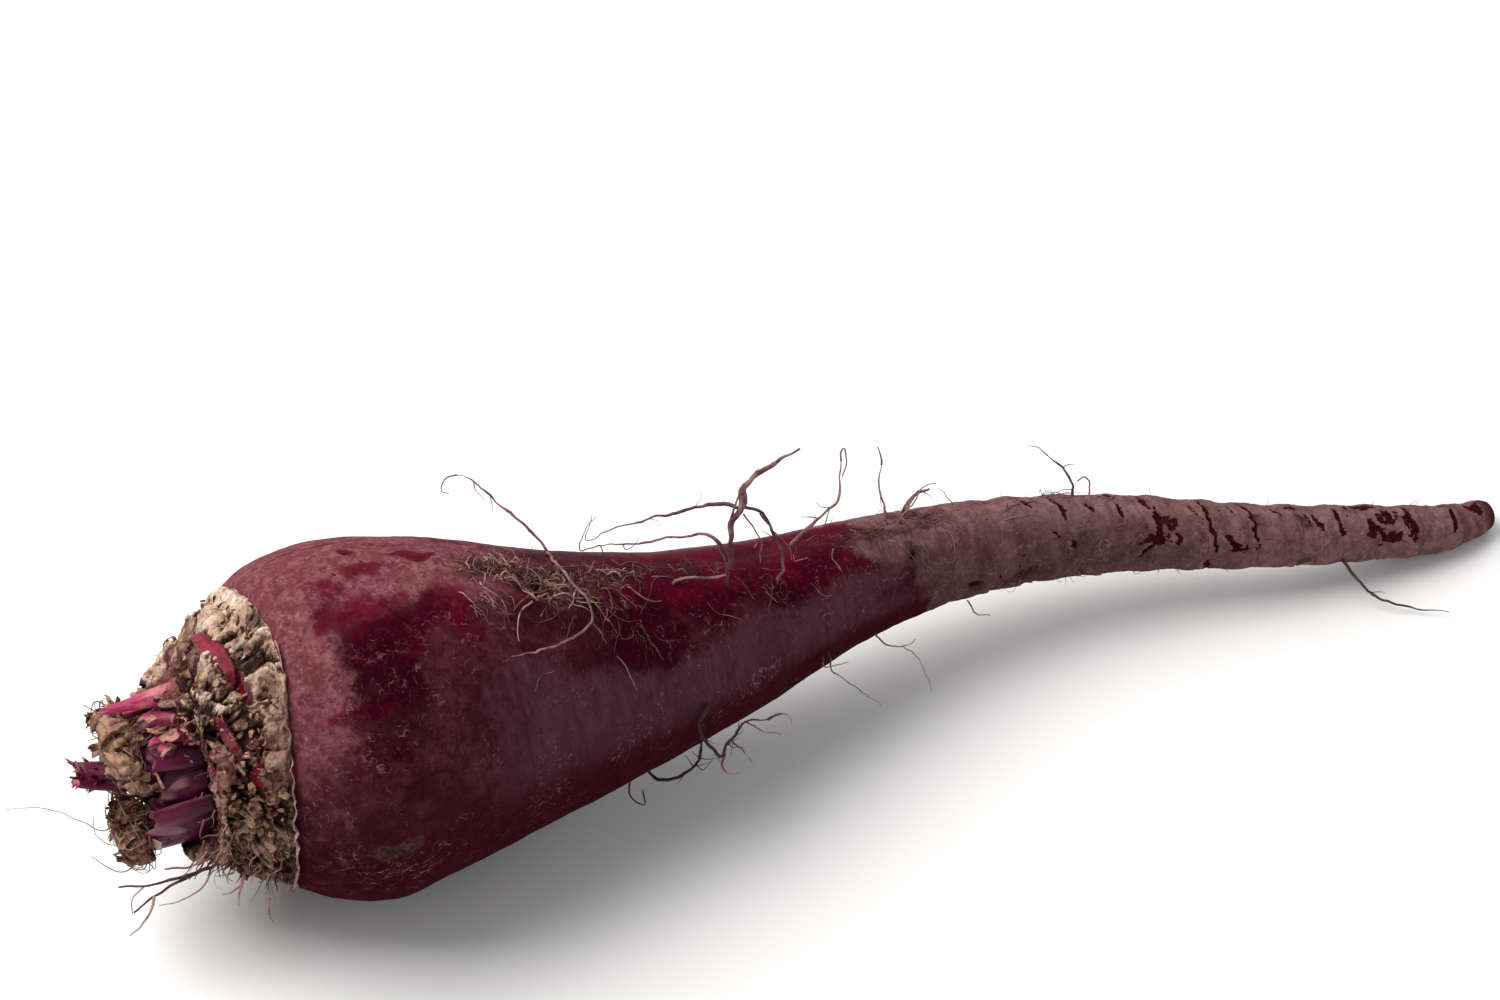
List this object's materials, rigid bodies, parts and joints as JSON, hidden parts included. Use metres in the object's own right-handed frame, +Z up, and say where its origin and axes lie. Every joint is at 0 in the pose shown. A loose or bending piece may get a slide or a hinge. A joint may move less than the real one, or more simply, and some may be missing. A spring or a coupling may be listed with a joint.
{
  "type": "beetroot",
  "caption": "Long beetroot lying on its side: a tapering root with a curved tail and rootlets, a corky crown, cut leaf stalks and withered stalk ends",
  "frame": {"origin": "centre of the bounding box on the plane that the beetroot rests on", "axes": "+X runs along the root from the crown to the tip of the tail, +Z is up with the root lying on its side"},
  "size_m": [0.2933, 0.0682, 0.0675],
  "materials": {
    "beet_skin": "thin matt skin with a dusty bloom, satin where rubbed",
    "corky_crown": "rough dry corky tissue",
    "leaf_stalk": "moist glossy stalk flesh",
    "withered_leaf": "dry crumpled leaf and fibre"
  },
  "bodies": {
    "root": {"root": "beet_skin", "crown": "corky_crown", "leaf_stalks": "leaf_stalk", "withered_ends_upper": "withered_leaf", "withered_ends_lower": "withered_leaf"}
  },
  "joints": []
}
